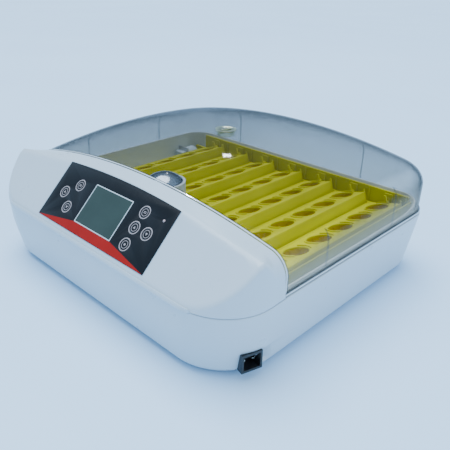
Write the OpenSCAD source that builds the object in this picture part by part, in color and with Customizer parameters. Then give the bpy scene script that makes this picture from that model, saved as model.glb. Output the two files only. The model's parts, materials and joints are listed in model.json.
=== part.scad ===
// Table-top egg incubator: a tapered tub with a sloping control head in front,
// a clear barrel-shaped cover behind it, and seven egg rows that tilt together.
// X runs to the right, Y to the back, Z up. The origin is on the table, at the
// middle of the footprint.

/* [Housing] */
// Width across the widest line of the housing
body_w = 460; // [452:1:464]
// Depth from the front of the head to the back
body_d = 404; // [402:1:408]
// Height of the line where the cover and the head meet the base
seam_z = 82; // [80:1:84]
// Plan radius of the two front corners
front_r = 66; // [58:1:72]
// Plan radius of the two back corners
rear_r = 44; // [40:1:48]
// Wall thickness of the mouldings
wall = 3; // [2.5:0.5:3.5]
// Height of the rubber feet under the base
foot_h = 4; // [3:0.5:5]
// How far the walls lean in from the seam to the table
wall_lean = 6; // [4:1:8]

/* [Control head] */
// Height of the ridge between head and cover at the middle
ridge_z = 150; // [148:1:152]
// Distance of the ridge in front of the middle of the footprint
ridge_front = 117.5; // [116:0.5:118]
// Slope of the control panel
panel_slope = 45; // [43:1:47]
// Width of the black label on the panel
label_w = 212; // [200:2:214]
// Diameter of a membrane key
key_d = 13; // [11:0.5:14]

/* [Cover] */
// Radius of the shallow dome on top
crown_r = 1000; // [950:10:1050]
// Radius of the shoulders where head and cover meet
edge_r = 20; // [16:1:24]
// Wall thickness of the clear cover
cover_t = 2.5; // [2:0.25:3]

/* [Egg tray] */
// Number of tilting rows
rows = 7; // [7:1:7]
// Number of egg cups in a row
cups = 6; // [6:1:6]
// Distance between rows
row_pitch = 55.5; // [55:0.25:56]
// Distance between cups in a row
cup_pitch = 44.7; // [44:0.1:45]
// Diameter of the hole in an egg cup
cup_d = 30; // [27:0.5:31]
// Width of one row
row_w = 50; // [48:0.5:51]
// Height of the axis on which the rows tilt
hinge_z = 83; // [82:0.5:84]
// Tilt of the rows as the part rests, right side up
rest_tilt = 15; // [0:1:20]
// Distance from a row's axis to its drive peg
crank_r = 12; // [11.5:0.5:12]

/* [Hidden] */
$fn = 96;

eps = 0.01;
fit = 0.08;            // running clearance of a pin in its bore, on the radius

half_w = body_w / 2;
front_y = -body_d / 2;
rear_y = body_d / 2;
front_cx = half_w - front_r;
front_cy = front_y + front_r;
ridge_y = -ridge_front;

// The panel's top edge: a shallow strip joins it to the ridge.
strip_slope = 14.5;
strip_d = 19.6;
panel_top_y = ridge_y - strip_d;
panel_top_z = ridge_z - strip_d * tan(strip_slope);

// The dome is highest behind the middle; at the ridge it is an arch of arch_r.
crown_y = 78;
arch_r = sqrt(crown_r * crown_r - pow(crown_y - ridge_y, 2));
crown_z = ridge_z + crown_r - arch_r;
heel_z = foot_h + 11;   // top of the slanted edge at the foot of the walls
heel = 8;              // how far that edge goes in
heel_soft = 12;        // how much rounder the corners are down there
cover_inset = 3;       // the cover's wall stands in from the housing's widest line
lip = 2;               // the rim lip along the cover's edges
lip_h = 4.6;
tub_rim_z = seam_z + 12;

row_x0 = 180.5;        // axis of the right-hand row
cup_y0 = 142.8;        // rearmost cup
row_y0 = -104;
row_y1 = 164;
row_t = 2.2;
skirt = 12;
pin_r = 3;
peg_r = 2;
bar_y0 = 166.4;
bar_t = 4;
frame_x0 = -187;
frame_x1 = 212.6;
frame_y0 = -110;
frame_y1 = 176;
frame_t = 4;
frame_z0 = 48;
floor_z = 30;
bulkhead_screw_z = 88;
motor_x = -201;
motor_z = 64;
vent_x = -10;
vent_y = 44;
vent_bore = 12;
fan_x = 10;
fan_y = -84;
fan_r = 26;
fan_wall = 2;
fan_low = 118;         // the fan housing's lower and upper faces
fan_high = 134;
inlet_turn = -17;      // the inlet faces a little forward, round the corner
inlet_z = 21;
inlet_w = 24;
inlet_h = 22;
inlet_out = 61;        // its face, measured from the corner's centre
inlet_deep = 17;

key_spots = [[-62.5, -27.5], [-82.5, -43], [-63, -58.5], [60, -22.5], [58.5, -42.5],
    [79.5, -42.7], [59.5, -63.5]];
status_spot = [91.5, -21.8];
lcd_w = 72;
lcd_h = 52;
lcd_top = -17.1;
label_h = 82;
label_t = 0.8;
label_crown = 4.5;     // the label's top edge bows up by this much

white = "whitesmoke";
yellow = "gold";

// ---------------------------------------------------------------- helpers

// A profile in (x, z), drawn out from y0 to y1.
module along_y(y0, y1) {
    translate([0, y1, 0]) rotate([90, 0, 0]) linear_extrude(y1 - y0) children();
}

// A profile in (y, z), drawn out from x0 to x1.
module along_x(x0, x1) {
    translate([x0, 0, 0]) rotate([90, 0, 90]) linear_extrude(x1 - x0) children();
}

module box(x0, x1, y0, y1, z0, z1) {
    translate([x0, y0, z0]) cube([x1 - x0, y1 - y0, z1 - z0]);
}

// A round bar along Y.
module rod_y(x, z, r, y0, y1) {
    translate([x, y1, z]) rotate([90, 0, 0]) cylinder(r = r, h = y1 - y0);
}

// The housing's plan outline, moved in by inset, its corners rounder by soft.
module plan(inset, soft = 0) {
    w = half_w - inset;
    fr = front_r + soft;
    rr = rear_r + soft;
    y0 = front_y + fr;
    y1 = rear_y - rr;
    translate([-w, y0]) square([2 * w, y1 - y0]);
    translate([fr - half_w, front_y + inset]) square([body_w - 2 * fr, fr]);
    translate([rr - half_w, y1 - eps]) square([body_w - 2 * rr, rr - inset + eps]);
    for (s = [-1, 1]) {
        translate([s * (half_w - fr), y0]) circle(fr - inset);
        translate([s * (half_w - rr), y1]) circle(rr - inset);
    }
}

module plan_block(inset, z0, z1, soft = 0) {
    translate([0, 0, z0]) linear_extrude(z1 - z0) plan(inset, soft);
}

// The same outline with leaning walls: in by d0 at z0 and by d1 at z1, with
// corners rounder by s0 and s1.
module lean_block(z0, z1, d0, d1, s0 = 0, s1 = 0) {
    slice = 0.02;
    hull() {
        plan_block(d0, z0, z0 + slice, s0);
        plan_block(d1, z1 - slice, z1, s1);
    }
}

// The ridge's arch with rounded shoulders, in (x, z), moved in by inset.
module ridge_arch(inset) {
    ar = arch_r - inset;
    er = edge_r - inset;
    w = half_w - cover_inset - inset;
    low = 60;
    az = ridge_z - arch_r;
    sz = az + sqrt(pow(ar - er, 2) - pow(w - er, 2));
    far = 1.2 * arch_r;
    lean = asin((w - er) / (ar - er)) - 0.08;
    side = w - 0.04;    // a hair inside the shoulder, so the two outlines cross
    translate([-side, low]) square([2 * side, sz - low]);
    intersection() {
        translate([0, az]) circle(ar, $fn = 720);
        polygon([[0, az], [far * sin(lean), az + far * cos(lean)],
            [-far * sin(lean), az + far * cos(lean)]]);
        translate([-w, low]) square([2 * w, 200]);
    }
    for (s = [-1, 1]) translate([s * (w - er), sz]) circle(er);
}

// The dome over the cover, moved in by inset.
module dome(inset) {
    translate([0, crown_y, crown_z - crown_r]) sphere(r = crown_r - inset, $fn = 720);
}

// The panel's own frame: x to the right, y up the slope, z out of the panel,
// from the middle of its top edge.
module on_panel() {
    translate([0, panel_top_y, panel_top_z]) rotate([panel_slope, 0, 0]) children();
}

// Everything behind and below the panel, moved in by inset.
module behind_panel(inset) {
    on_panel() translate([-300, -200, -300]) cube([600, 400, 300 - inset]);
}

// Everything below the strip between panel and ridge.
module below_strip(inset) {
    translate([0, ridge_y, ridge_z]) rotate([strip_slope, 0, 0])
        translate([-300, -300, -300 - inset]) cube([600, 600, 300]);
}

// The solid form of the head, moved in by inset.
module head_form(inset, z0) {
    intersection() {
        plan_block(inset, z0, 200);
        along_y(front_y - 1, ridge_y) ridge_arch(inset - cover_inset - 0.5);
        behind_panel(inset);
        below_strip(inset);
    }
}

module screw(l, r = 1.5, head = 3) {
    translate([0, 0, -1]) cylinder(r = r, h = l + 1);
    translate([0, 0, -2]) cylinder(r = head, h = 2);
}

// ---------------------------------------------------------------- housing

// The mains inlet's own frame: z out of the housing.
module at_inlet() {
    translate([front_cx, front_cy, inlet_z]) rotate([0, 0, inlet_turn])
        translate([inlet_out, 0, 0]) rotate([90, 0, 90]) children();
}

module base_shell() {
    color(white) difference() {
        union() {
            lean_block(heel_z, seam_z, wall_lean, 0, heel_soft, 0);
            lean_block(foot_h, heel_z, wall_lean + heel, wall_lean, heel_soft, heel_soft);
        }
        lean_block(foot_h - 1, heel_z, wall_lean + heel + wall, wall_lean + wall, heel_soft, heel_soft);
        lean_block(heel_z - eps, seam_z + 1, wall_lean + wall, wall, heel_soft, 0);
        at_inlet() translate([0, 0, -30]) linear_extrude(60)
            square([inlet_w + 0.4, inlet_h + 0.4], center = true);
        at_inlet() translate([-inlet_w / 2 - 2, -inlet_h / 2 - 2, -40])
            cube([inlet_w + 4, inlet_h + 4, 30.4]);
    }
}

module bottom_plate() {
    z1 = foot_h + 5;
    color(white) difference() {
        plan_block(wall_lean + heel + wall + 1, foot_h + 2, z1, heel_soft);
        for (x = [-150 : 12 : -90]) box(x, x + 5, -180, -140, 0, 40);
        for (p = screw_spots()) translate([p[0], p[1], 0]) cylinder(r = 1.6, h = 40);
        for (p = foot_spots()) translate([p[0], p[1], 0]) cylinder(r = 3, h = 40);
        at_inlet() translate([-16, -15, -22]) cube([32, 30, 22]);
    }
}

function foot_spots() = [[-165, -140], [165, -140], [-165, 150], [165, 150]];
function screw_spots() = [[-195, -60], [195, -60], [-195, 80], [195, 80], [0, -175], [0, 175]];

module foot(i) {
    p = foot_spots()[i];
    color("dimgray") translate([p[0], p[1], 0]) {
        cylinder(r1 = 8, r2 = 9, h = foot_h + 2 - eps);
        cylinder(r = 2.9, h = foot_h + 6);
    }
}

module base_screws() {
    color("silver") for (p = screw_spots())
        translate([p[0], p[1], foot_h + 2]) screw(16, 1.5, 3);
}

// The liner: floor, walls and the upstand that the cover goes over.
module chamber_tub() {
    in = 7.4;
    y0 = ridge_y + 3.2;
    post = 5;
    color(white) {
        difference() {
            intersection() {
                union() {
                    lean_block(floor_z, seam_z, in + 3, in, 0.8 * heel_soft, 0);
                    plan_block(in, seam_z - eps, tub_rim_z);
                }
                box(-half_w, half_w, y0, rear_y, 0, 200);
            }
            intersection() {
                lean_block(floor_z + 2.5, tub_rim_z + 1, in + 6, in + 2.5, 0.8 * heel_soft, 0);
                box(-half_w, half_w, y0 + 2.5, rear_y, 0, 200);
            }
            for (x = [-170, 170]) rod_y(x, bulkhead_screw_z, 1.6, y0 - 1, y0 + 9);
        }
        difference() {
            intersection() {
                plan_block(wall + 0.7, seam_z - 2.4, seam_z);
                box(-half_w, half_w, y0, rear_y, 0, 200);
            }
            intersection() {
                plan_block(in + 1, seam_z - 3, seam_z + 1);
                box(-half_w, half_w, y0 + 1, rear_y, 0, 200);
            }
        }
        for (p = screw_spots()) if (p[1] > y0 && abs(p[1]) < 170)
            translate([p[0], p[1], foot_h + 5]) difference() {
                cylinder(r = post, h = floor_z - foot_h - 5 + eps);
                cylinder(r = 1.5, h = 13.2);
            }
    }
}

module head_shell() {
    color(white) difference() {
        head_form(0, seam_z);
        difference() {
            head_form(wall, seam_z - 1);
        }
        on_panel() {
            translate([-lcd_w / 2 + 3, lcd_top - lcd_h + 3, -20]) cube([lcd_w - 6, lcd_h - 6, 40]);
            for (p = key_spots) translate([p[0], p[1], -20]) cylinder(d = key_d + 1, h = 40);
            translate([status_spot[0], status_spot[1], -20]) cylinder(r = 1.6, h = 40);
        }
    }
}

// The wall between the head and the chamber, with the fan's grille.
module bulkhead() {
    t = 2.8;
    color(white) difference() {
        intersection() {
            along_y(ridge_y + 0.2, ridge_y + 0.2 + t) ridge_arch(0.4 + cover_t);
            box(-half_w, half_w, ridge_y, 0, seam_z - 3, 200);
        }
        for (x = [-50 : 10 : 70]) box(x - 2.2, x + 2.2, ridge_y - 1, ridge_y + 9, 92, 106);
        for (x = [-170, 170]) rod_y(x, bulkhead_screw_z, 1.6, ridge_y - 1, ridge_y + 9);
        for (x = [-14, 14]) rod_y(fan_x + x, fan_high - 5, 1.6, ridge_y - 1, ridge_y + 9);
    }
}

module bulkhead_screws() {
    color("silver") for (x = [-170, 170])
        translate([x, ridge_y + 0.2, bulkhead_screw_z]) rotate([-90, 0, 0]) screw(7, 1.5, 3);
}

// ---------------------------------------------------------------- cover

// The cover's solid form, moved in by inset.
module cover_form(inset, y0) {
    intersection() {
        plan_block(cover_inset + inset, seam_z + 0.4, 190);
        dome(inset);
        box(-half_w, half_w, y0, rear_y, 0, 200);
    }
}

function crown_at(x, y) = crown_z - crown_r
    + sqrt(crown_r * crown_r - x * x - pow(y - crown_y, 2));

module clear_cover() {
    y0 = ridge_y + 0.4;
    vent_z = crown_at(vent_x, vent_y);
    color([0.7, 0.78, 0.82, 0.4]) difference() {
        union() {
            difference() {
                cover_form(0, y0);
                translate([0, 0, -1]) cover_form(cover_t, y0 - 1);
                cover_form(cover_t, y0 - 1);
            }
            // rim lip along the sides and the back
            difference() {
                intersection() {
                    plan_block(cover_inset - lip, seam_z + 0.4, seam_z + lip_h);
                    box(-half_w, half_w, y0, rear_y, 0, 200);
                }
                plan_block(cover_inset + cover_t - eps, seam_z, seam_z + lip_h + 1);
            }
            // vent seat
            translate([vent_x, vent_y, vent_z - 4]) cylinder(r = vent_bore + 3, h = 4);
        }
        translate([vent_x, vent_y, 0]) cylinder(r = vent_bore, h = 300);
    }
}

// A round plug that turns in the cover's vent bore.
module vent_plug() {
    z = crown_at(vent_x, vent_y);
    color([0.85, 0.9, 0.55, 0.6]) translate([vent_x, vent_y, z]) difference() {
        union() {
            translate([0, 0, -7]) cylinder(r = vent_bore - fit, h = 7.7);
            translate([0, 0, 0.7]) cylinder(r = vent_bore + 3, h = 1.6);
            translate([-1.5, -9, 2]) cube([3, 18, 3]);
        }
        translate([0, 0, -8]) cylinder(r = vent_bore - 2.5, h = 6.5);
        for (a = [0 : 90 : 270]) rotate(a + 45) translate([6, 0, -9]) cylinder(r = 2, h = 20);
    }
}

// ---------------------------------------------------------------- panel

module label_plan(grow) {
    cr = (pow(label_w / 2, 2) + label_crown * label_crown) / (2 * label_crown);
    intersection() {
        translate([-label_w / 2 - grow, -label_h - grow])
            square([label_w + 2 * grow, label_h + 2 * grow]);
        translate([0, -cr - 0.5]) circle(cr + grow, $fn = 720);
    }
}

module stripe_plan(grow) {
    low = -label_h;
    top = lcd_top - lcd_h;
    polygon([[-label_w / 2 + 2 - grow, low + 0.6 - grow], [label_w / 2 - 2 + grow, low + 0.6 - grow],
        [label_w / 2 - 2 + grow, low + 1 + grow], [lcd_w / 2 + 2 * grow, top + grow],
        [-lcd_w / 2 - 2 * grow, top + grow], [-label_w / 2 + 2 - grow, low + 1 + grow]]);
}

module panel_label() {
    color("black") on_panel() difference() {
        linear_extrude(label_t) label_plan(0);
        translate([0, 0, 0.4]) linear_extrude(1) stripe_plan(0.05);
        translate([-lcd_w / 2, lcd_top - lcd_h, -1]) cube([lcd_w, lcd_h, 5]);
        for (p = key_spots) translate([p[0], p[1], -1]) cylinder(d = key_d + 0.7, h = 5);
        translate([status_spot[0], status_spot[1], -1]) cylinder(r = 1.6, h = 5);
    }
}

module panel_stripe() {
    color("firebrick") on_panel() translate([0, 0, 0.41]) linear_extrude(0.42) stripe_plan(0);
}

module lcd_bezel() {
    line = 1.3;
    color("lightgray") on_panel() difference() {
        translate([-lcd_w / 2 + 0.1, lcd_top - lcd_h + 0.1, 0])
            cube([lcd_w - 0.2, lcd_h - 0.2, 1]);
        translate([-lcd_w / 2 + line, lcd_top - lcd_h + line, -1])
            cube([lcd_w - 2 * line, lcd_h - 2 * line, 5]);
    }
}

module lcd_window() {
    line = 1.4;
    color("darkslategray") on_panel() translate([-lcd_w / 2 + line, lcd_top - lcd_h + line, 0])
        cube([lcd_w - 2 * line, lcd_h - 2 * line, 0.8]);
}

module lcd_module() {
    color("dimgray") on_panel() translate([-lcd_w / 2 + 3.4, lcd_top - lcd_h + 3.4, -7])
        cube([lcd_w - 6.8, lcd_h - 6.8, 6.8]);
}

module status_lens() {
    color("lightpink") on_panel() translate([status_spot[0], status_spot[1], -3]) {
        cylinder(r = 1.5, h = 3.8);
        translate([0, 0, 3.8]) sphere(r = 1.2);
    }
}

module key(i) {
    p = key_spots[i];
    color("silver") on_panel() translate([p[0], p[1], 0]) {
        translate([0, 0, -2]) cylinder(d = key_d, h = 3);
        translate([0, 0, -3.4]) cylinder(d = 4, h = 1.5);
    }
}

// ---------------------------------------------------------------- electronics

module control_board() {
    color("seagreen") on_panel() difference() {
        translate([-100, -70, -9.4]) cube([200, 64, 1.6]);
        for (p = board_spots()) translate([p[0], p[1], -20]) cylinder(r = 1.6, h = 30);
    }
    color("dimgray") on_panel() {
        translate([-20, -60, -12]) cube([18, 18, 2.7]);
        for (p = key_spots) translate([p[0] - 3, p[1] - 3, -7.9]) cube([6, 6, 3.5]);
    }
}

function board_spots() = [[-94, -12], [94, -12], [-94, -64], [94, -64]];

module board_screws() {
    color("silver") on_panel() for (p = board_spots())
        translate([p[0], p[1], -9.4]) screw(6.2, 1.5, 2.8);
}

module buzzer() {
    color("black") on_panel() translate([40, -60, -18]) difference() {
        cylinder(r = 6, h = 8.6);
        translate([0, 0, -1]) cylinder(r = 1.2, h = 3);
    }
}

module power_board() {
    z = foot_h + 12;
    color("seagreen") difference() {
        box(30, 150, -180, -130, z, z + 1.6);
        for (p = [[36, -174], [144, -174], [36, -136], [144, -136]])
            translate([p[0], p[1], 0]) cylinder(r = 1.6, h = 60);
    }
    color("silver") for (p = [[36, -174], [144, -174], [36, -136], [144, -136]])
        translate([p[0], p[1], foot_h + 5]) difference() {
            cylinder(r = 3, h = 7);
            translate([0, 0, -1]) cylinder(r = 1.5, h = 9);
        }
}

module power_transformer() {
    z = foot_h + 13.6;
    color("gold") box(50, 78, -168, -144, z, z + 20);
    color("dimgray") box(46, 82, -162, -150, z + 4, z + 16);
}

module mains_relay() {
    z = foot_h + 13.6;
    color("royalblue") difference() {
        box(100, 119, -170, -155, z, z + 15);
        box(102, 117, -168, -157, z + 14.4, z + 16);
    }
}

module inlet_socket() {
    color([0.12, 0.12, 0.13]) at_inlet() difference() {
        union() {
            translate([-inlet_w / 2, -inlet_h / 2, -inlet_deep]) cube([inlet_w, inlet_h, inlet_deep]);
            translate([-inlet_w / 2 - 1.6, -inlet_h / 2 - 1.6, -inlet_deep])
                cube([inlet_w + 3.2, inlet_h + 3.2, 7]);
        }
        translate([-inlet_w / 2 + 2.4, -inlet_h / 2 + 2.8, -inlet_deep + 3])
            cube([inlet_w - 4.8, inlet_h - 5.6, inlet_deep]);
    }
}

module inlet_pins() {
    color("silver") at_inlet() for (p = [[-6, -2], [6, -2], [0, 3.5]])
        translate([p[0] - 2, p[1] - 1, -inlet_deep - 4]) cube([4, 2, 14]);
}

// ---------------------------------------------------------------- fan and heater

module fan_housing() {
    color(white) difference() {
        union() {
            translate([fan_x, fan_y, fan_low]) cylinder(r = fan_r, h = fan_high - fan_low);
            box(fan_x - 18, fan_x + 18, ridge_y + 3, fan_y, fan_low, fan_high);
        }
        translate([fan_x, fan_y, fan_low - 1]) cylinder(r = fan_r - fan_wall, h = 14);
        translate([fan_x, fan_y, 0]) cylinder(r = 11, h = 200);
        for (a = [0 : 45 : 315]) translate([fan_x, fan_y, 0]) rotate(a + 22.5)
            translate([17, 0, 0]) cylinder(r = 4, h = 200);
        for (x = [-14, 14]) rod_y(fan_x + x, fan_high - 5, 1.6, ridge_y, ridge_y + 10);
    }
}

module fan_motor() {
    color("gray") difference() {
        translate([fan_x, fan_y, fan_high - 10]) cylinder(r = 10.9, h = 10);
        translate([fan_x, fan_y, 0]) cylinder(r = 1.2, h = fan_high - 4);
    }
}

module fan_rotor() {
    color("dimgray") translate([fan_x, fan_y, 0]) {
        translate([0, 0, fan_high - 20]) cylinder(r = 1.2 - fit, h = 15);
        translate([0, 0, fan_high - 16]) difference() {
            cylinder(r = 7, h = 5);
            translate([0, 0, -1]) cylinder(r = 1, h = 3);
        }
        for (a = [0 : 72 : 288]) rotate(a) translate([5, -1, fan_high - 16])
            rotate([35, 0, 0]) translate([0, -2.5, 0]) cube([15, 5, 1.2]);
    }
}

// The polished dome over the fan's motor.
module fan_cap() {
    dome_r = 25;
    sphere_r = 34;
    color("silver") translate([fan_x, fan_y, fan_high]) intersection() {
        translate([0, 0, sphere_r * -cos(asin(dome_r / sphere_r))])
            difference() {
                sphere(r = sphere_r);
                sphere(r = sphere_r - 1.2);
            }
        cylinder(r = dome_r, h = 40);
    }
}

module fan_screws() {
    color("silver") for (x = [-14, 14])
        translate([fan_x + x, ridge_y + 0.2, fan_high - 5]) rotate([-90, 0, 0]) screw(9, 1.5, 2.8);
}

module heater_coil() {
    z = fan_low - 6;
    color("orangered") translate([fan_x, fan_y, z]) rotate_extrude() translate([19, 0]) circle(r = 2.2, $fn = 24);
}

module heater_posts() {
    color("white") for (a = [0 : 120 : 240]) translate([fan_x, fan_y, 0]) rotate(a + 90)
        union() {
            translate([21.4, -2, fan_low - 10.5]) cube([4, 4, 10.5]);
            translate([16, -2, fan_low - 10.5]) cube([6, 4, 2]);
        }
}

module sensor_probe() {
    color("silver") translate([-60, ridge_y + 16, 112]) {
        cylinder(r = 2.5, h = 22);
        sphere(r = 2.5);
    }
}

module sensor_clip() {
    color(white) difference() {
        box(-66, -54, ridge_y + 3, ridge_y + 20, 124, 130);
        translate([-60, ridge_y + 16, 100]) cylinder(r = 2.5, h = 60);
    }
}

// ---------------------------------------------------------------- egg tray

// The yellow frame that carries the rows' pivots.
module tray_frame() {
    back_top = 98;
    front_top = 90;
    side_top = 71.5;
    color(yellow) difference() {
        intersection() {
            union() {
                box(frame_x0, frame_x1, frame_y0, frame_y0 + frame_t, frame_z0, front_top);
                box(frame_x0, frame_x1, frame_y1 - frame_t, frame_y1, frame_z0, back_top);
                for (x = [frame_x0, frame_x1 - 3])
                    box(x, x + 3, frame_y0, frame_y1, frame_z0, side_top);
                for (x = [frame_x0 + 3, frame_x1 - 13]) for (y = [frame_y0, frame_y1 - 10])
                    box(x, x + 10, y, y + 10, floor_z + 2.5 + eps, frame_z0 + 4);
            }
            plan_block(15, 0, 200, heel_soft);
        }
        box(frame_x0 - 1, frame_x0 + 4, bar_y0 - 1.4, bar_y0 + bar_t + 1.4, 60, side_top + 1);
        for (i = [0 : rows - 1]) for (y = [frame_y0, frame_y1 - frame_t])
            rod_y(row_x0 - i * row_pitch, hinge_z, pin_r + fit, y - 1, y + frame_t + 1);
    }
}

// One egg row, about its own axis at the origin and level.
module row_form() {
    w = row_w / 2;
    difference() {
        union() {
            box(-w, w, row_y0, row_y1, -row_t / 2, row_t / 2);
            for (s = [-1, 1]) box(s * (w - 1) - 1, s * (w - 1) + 1, row_y0, row_y1, -skirt, row_t / 2);
            for (y = [row_y0, row_y1 - 3]) box(-w, w, y, y + 3, -18, row_t / 2);
            for (j = [0 : cups - 1]) translate([0, cup_y0 - j * cup_pitch, -8])
                cylinder(d = cup_d + 4, h = 8);
            box(-1.5, 4.5, row_y1 - 3, row_y1, 0, 12);
        }
        for (j = [0 : cups - 1]) translate([0, cup_y0 - j * cup_pitch, -9])
            cylinder(d = cup_d, h = 20);
    }
    rod_y(0, 0, pin_r, frame_y0 - 0.5, row_y0 + 1);
    rod_y(0, 0, pin_r, row_y1 - 1, frame_y1 + 0.5);
    rod_y(0, -crank_r, peg_r, row_y1 - 1, bar_y0 + bar_t + 0.6);
}

module egg_row(i) {
    color(yellow) translate([row_x0 - i * row_pitch, 0, hinge_z]) rotate([0, -rest_tilt, 0]) row_form();
}

peg_dx = crank_r * sin(rest_tilt);
peg_dz = -crank_r * cos(rest_tilt);

module drive_bar() {
    zc = hinge_z + peg_dz;
    ends = [motor_x + peg_dx, row_x0 + peg_dx];
    za = motor_z + peg_dz;
    color(yellow) difference() {
        along_y(bar_y0, bar_y0 + bar_t) union() {
            translate([ends[0], zc - 5]) square([ends[1] - ends[0], 10]);
            translate([ends[1], zc]) circle(5);
            translate([ends[0] - 4, za]) square([8, zc - za + 5]);
            translate([ends[0], za]) circle(4);
        }
        for (i = [0 : rows - 1]) rod_y(row_x0 - i * row_pitch + peg_dx, zc, peg_r + fit, bar_y0 - 1, bar_y0 + bar_t + 1);
        rod_y(ends[0], za, peg_r + fit, bar_y0 - 1, bar_y0 + bar_t + 1);
    }
}

// The motor's crank: its pin drives the bar.
module tilt_arm() {
    y0 = bar_y0 - 5;
    color("white") translate([motor_x, 0, motor_z]) rotate([0, -rest_tilt, 0]) difference() {
        union() {
            along_y(y0, y0 + 4) union() {
                circle(7);
                translate([-4, -crank_r]) square([8, crank_r]);
                translate([0, -crank_r]) circle(4);
            }
            rod_y(0, -crank_r, peg_r, y0 + 3, bar_y0 + bar_t + 0.6);
        }
        rod_y(0, 0, 2.5 + fit, y0 - 1, y0 + 3);
    }
}

module tilt_motor() {
    y1 = bar_y0 - 8;
    color("silver") {
        rod_y(motor_x, motor_z, 13, y1 - 22, y1);
        rod_y(motor_x, motor_z, 2.5, y1 - 1, bar_y0 - 2.2);
        box(motor_x - 9, motor_x + 9, y1 - 34, y1 - 21, motor_z - 9, motor_z + 9);
    }
}

module motor_bracket() {
    y1 = bar_y0 - 8;
    color("silver") difference() {
        union() {
            box(motor_x - 11, motor_x + 13, y1 - 25, y1 - 23, floor_z + 4.5, motor_z + 16);
            box(motor_x - 11, motor_x + 13, y1 - 36, y1 - 23, floor_z + 2.5 + eps, floor_z + 4.5);
        }
        box(motor_x - 9.1, motor_x + 9.1, y1 - 40, y1 - 20, motor_z - 9.1, motor_z + 9.1);
        for (x = [-7, 9]) translate([motor_x + x, y1 - 30, 0]) cylinder(r = 1.6, h = 60);
    }
}

module motor_screws() {
    y1 = bar_y0 - 8;
    color("dimgray") for (x = [-7, 9])
        translate([motor_x + x, y1 - 30, floor_z + 4.5]) mirror([0, 0, 1]) screw(1.9, 1.5, 2.6);
}

module water_trough(x0, x1) {
    z = floor_z + 2.5 + eps;
    color("aliceblue") difference() {
        box(x0, x1, -96, 150, z, z + 14);
        box(x0 + 2, x1 - 2, -94, 20, z + 2, z + 15);
        box(x0 + 2, x1 - 2, 22, 148, z + 2, z + 15);
    }
}

// The loom from the power board up to the control board.
module wire_harness() {
    color("firebrick") {
        translate([90, -146, foot_h + 13.6]) cylinder(r = 2, h = 65);
        translate([90, -146, foot_h + 13.6]) cube([8, 8, 7], center = false);
    }
}

base_shell();
bottom_plate();
foot(0);  // foot_front_left
foot(1);  // foot_front_right
foot(2);  // foot_rear_left
foot(3);  // foot_rear_right
base_screws();
chamber_tub();
head_shell();
bulkhead();
bulkhead_screws();
clear_cover();
vent_plug();
panel_label();
panel_stripe();
lcd_bezel();
lcd_window();
lcd_module();
status_lens();
key(0);  // key_1
key(1);  // key_2
key(2);  // key_3
key(3);  // key_4
key(4);  // key_5
key(5);  // key_6
key(6);  // key_7
control_board();
board_screws();
buzzer();
power_board();
power_transformer();
mains_relay();
inlet_socket();
inlet_pins();
fan_housing();
fan_motor();
fan_rotor();
fan_cap();
fan_screws();
heater_coil();
heater_posts();
sensor_probe();
sensor_clip();
tray_frame();
egg_row(0);  // egg_row_1
egg_row(1);  // egg_row_2
egg_row(2);  // egg_row_3
egg_row(3);  // egg_row_4
egg_row(4);  // egg_row_5
egg_row(5);  // egg_row_6
egg_row(6);  // egg_row_7
drive_bar();
tilt_arm();
tilt_motor();
motor_bracket();
motor_screws();
water_trough(-150, 0);  // water_trough_left
water_trough(10, 170);  // water_trough_right
wire_harness();
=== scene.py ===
import json
import math

import bmesh
import bpy
from mathutils import Matrix, Vector


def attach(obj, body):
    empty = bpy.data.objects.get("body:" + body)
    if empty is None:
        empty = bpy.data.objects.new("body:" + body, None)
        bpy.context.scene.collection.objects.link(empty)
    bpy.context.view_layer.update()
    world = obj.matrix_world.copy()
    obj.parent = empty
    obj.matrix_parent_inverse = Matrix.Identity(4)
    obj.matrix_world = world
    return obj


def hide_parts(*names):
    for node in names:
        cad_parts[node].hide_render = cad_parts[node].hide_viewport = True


# Egg incubator: looks only. Lengths here are in millimetres, turned to metres by MM.
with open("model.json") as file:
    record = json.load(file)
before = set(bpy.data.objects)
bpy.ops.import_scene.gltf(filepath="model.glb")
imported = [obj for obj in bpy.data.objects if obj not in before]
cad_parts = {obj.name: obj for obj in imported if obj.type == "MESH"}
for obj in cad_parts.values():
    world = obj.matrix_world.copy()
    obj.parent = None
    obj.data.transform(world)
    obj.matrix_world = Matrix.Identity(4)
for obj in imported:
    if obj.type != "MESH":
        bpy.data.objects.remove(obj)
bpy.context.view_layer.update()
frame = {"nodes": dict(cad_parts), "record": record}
NODES = frame["nodes"]
MM = 0.001

# housing outline, the seam between base and head, and the shells' wall
HALF_W, FRONT_Y, REAR_Y = 230.0, -199.3, 202.0
FRONT_R, REAR_R = 65.0, 44.0
SEAM, WALL = 82.0, 2.4
# head: the ridge it shares with the cover, the panel's top edge, the width of its rounding
RIDGE_Y, RIDGE_Z, ARCH = -117.5, 150.0, 1960.0
PANEL_Y, PANEL_Z = -140.3, 141.7
HEAD_HALF, HEAD_CORNER, HEAD_REACH = 228.4, 64.0, 23.0
# cover: part of a ball, its outline and rounding, the heights of its lower edges, its ribs
DOME_R, DOME_Y, DOME_Z = 1000.0, 78.0, 169.27
COVER_HALF, COVER_REAR, COVER_CORNER, COVER_REACH, COVER_ROUND = 227.0, 199.0, 41.0, 21.0, 19.0
COVER_FOOT, COVER_LOW, RIM_LOW, COVER_WALL, UNDER_DOME = 82.6, 83.2, 83.0, 1.7, 0.3
SIDE_RIBS, REAR_RIB = (-42.0, 100.0), 120.0
HAZE_LOW, HAZE_HIGH = 86.0, 126.0
# mains inlet: a place behind it, which way it faces, and the scoop beside it
INLET_X, INLET_Y, INLET_Z, INLET_TURN = 164.0, -136.0, 21.0, -17.0
BEHIND_WALL, SCOOP = 30.0, 6.5
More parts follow.
